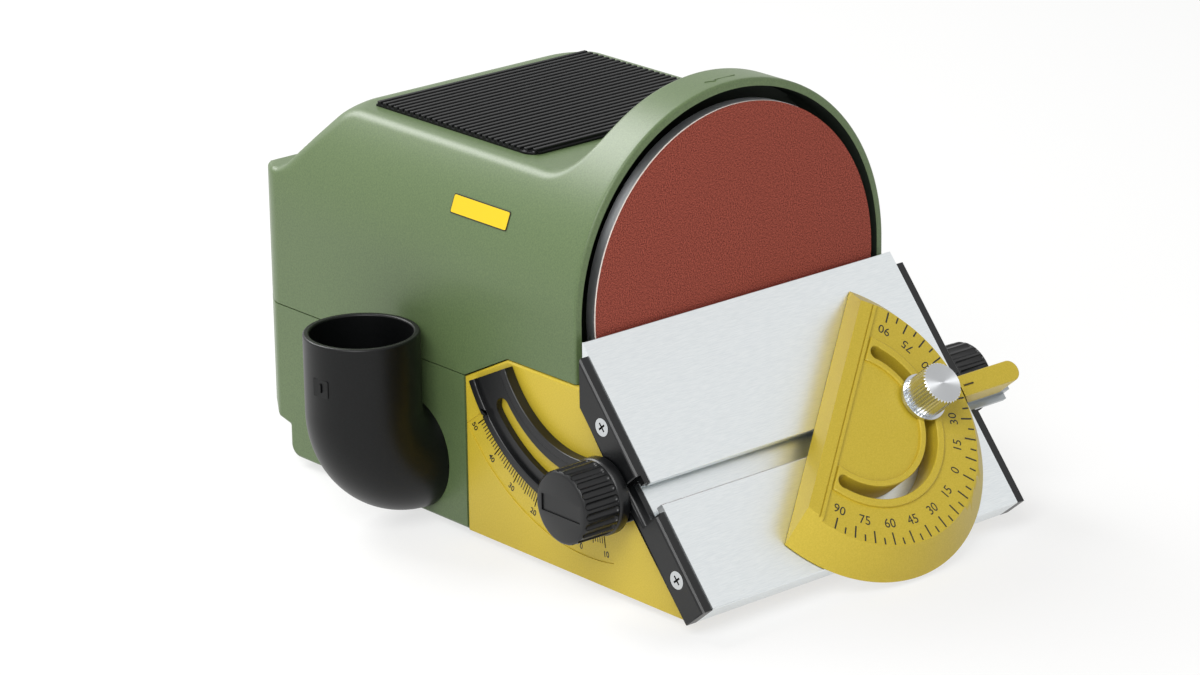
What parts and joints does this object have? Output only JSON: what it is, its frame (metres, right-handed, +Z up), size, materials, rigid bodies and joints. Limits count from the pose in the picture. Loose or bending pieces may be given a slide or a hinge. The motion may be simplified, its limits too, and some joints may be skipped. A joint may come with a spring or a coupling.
{
  "type": "benchtop disc sander",
  "caption": "Small benchtop disc sander with an arched motor housing, tilting aluminium table on slotted quadrants, sliding mitre gauge, clamp knobs and a side dust elbow.",
  "frame": {"origin": "on the bench, straight below the centre of the abrasive disc's face", "axes": "+X to the right as seen from the front, +Y from the disc's face back to the rear wall, +Z up from the bench"},
  "size_m": [0.2041, 0.2567, 0.16],
  "materials": {
    "green_plastic": "fine-grained moulded plastic, olive green",
    "yellow_plastic": "fine-grained moulded plastic, mustard yellow",
    "black_plastic": "glass-filled nylon, satin black",
    "black_rubber": "dull moulded rubber",
    "zinc_steel": "bright zinc plating",
    "motor_steel": "drawn steel",
    "magnet": "sintered ferrite",
    "cast_alloy": "die cast",
    "brown_resin": "moulded phenolic resin",
    "carbon": "pressed carbon",
    "circuit_board": "lacquered glass-fibre laminate",
    "brass": "turned brass",
    "abrasive": "red-brown aluminium oxide grit",
    "turned_aluminium": "fine turned",
    "copper": "enamelled and bare copper",
    "milled_aluminium": "extruded and milled, clear anodised"
  },
  "bodies": {
    "base": {"upper_housing": "green_plastic", "lower_housing": "green_plastic", "front_housing": "yellow_plastic", "top_mat": "black_rubber", "dust_elbow": "black_plastic", "dust_duct": "black_plastic", "rubber_feet": "black_rubber", "housing_screws": "zinc_steel", "motor_can": "motor_steel", "motor_magnets": "magnet", "front_end_plate": "cast_alloy", "rear_end_plate": "cast_alloy", "front_bearing": "zinc_steel", "rear_bearing": "zinc_steel", "brush_holders": "brown_resin", "carbon_brushes": "carbon", "motor_screws": "zinc_steel", "control_board": "circuit_board", "speed_pot": "circuit_board", "switch_frame": "black_plastic", "cable_gland": "black_plastic", "clamp_inserts": "brass"},
    "rotor": {"sanding_disc": "abrasive", "backing_disc": "turned_aluminium", "hub_set_screw": "zinc_steel", "motor_shaft": "zinc_steel", "armature_core": "motor_steel", "armature_windings": "copper", "commutator": "copper", "cooling_fan": "black_plastic"},
    "table": {"table": "milled_aluminium", "left_bracket": "black_plastic", "right_bracket": "black_plastic", "bracket_screws": "zinc_steel"},
    "left_clamp": {"left_knob": "black_plastic", "left_stud": "zinc_steel"},
    "right_clamp": {"right_knob": "black_plastic", "right_stud": "zinc_steel"},
    "gauge": {"guide_bar": "milled_aluminium", "pointer_arm": "yellow_plastic", "gauge_pin": "zinc_steel"},
    "protractor": {"protractor": "yellow_plastic"},
    "thumb_screw": {"thumb_screw": "turned_aluminium", "thumb_washer": "zinc_steel"},
    "rocker": {"switch_rocker": "black_plastic"},
    "dial": {"speed_dial": "black_plastic"}
  },
  "joints": [
    {"name": "disc_spin", "type": "hinge", "parent": "base", "child": "rotor", "pos_m": [0, 0, 0.09], "axis": [0, 1, 0], "continuous": true},
    {"name": "table_tilt", "type": "hinge", "parent": "base", "child": "table", "pos_m": [0, -0.00145, 0.0861], "axis": [-1, 0, 0], "range_deg": [0, 60]},
    {"name": "left_clamp_turn", "type": "hinge", "parent": "base", "child": "left_clamp", "pos_m": [-0.084, -0.0169, 0.03855], "axis": [-1, 0, 0], "range_deg": [0, 360]},
    {"name": "right_clamp_turn", "type": "hinge", "parent": "base", "child": "right_clamp", "pos_m": [0.084, -0.0169, 0.03855], "axis": [1, 0, 0], "range_deg": [0, 360]},
    {"name": "gauge_slide", "type": "slide", "parent": "table", "child": "gauge", "axis": [1, 0, 0], "range_m": [-0.075, 0.03]},
    {"name": "gauge_swivel", "type": "hinge", "parent": "gauge", "child": "protractor", "pos_m": [0.0148, -0.03728, 0.04339], "axis": [0, -0.766, 0.6428], "range_deg": [-45, 135]},
    {"name": "thumb_turn", "type": "hinge", "parent": "gauge", "child": "thumb_screw", "pos_m": [0.042, -0.03728, 0.04339], "axis": [0, -0.766, 0.6428], "range_deg": [0, 360]},
    {"name": "switch_rock", "type": "hinge", "parent": "base", "child": "rocker", "pos_m": [0.069, 0.078, 0.075], "axis": [0, 1, 0], "range_deg": [-14, 0]},
    {"name": "dial_turn", "type": "hinge", "parent": "base", "child": "dial", "pos_m": [0.0705, 0.11475, 0.075], "axis": [1, 0, 0], "range_deg": [0, 270]}
  ]
}
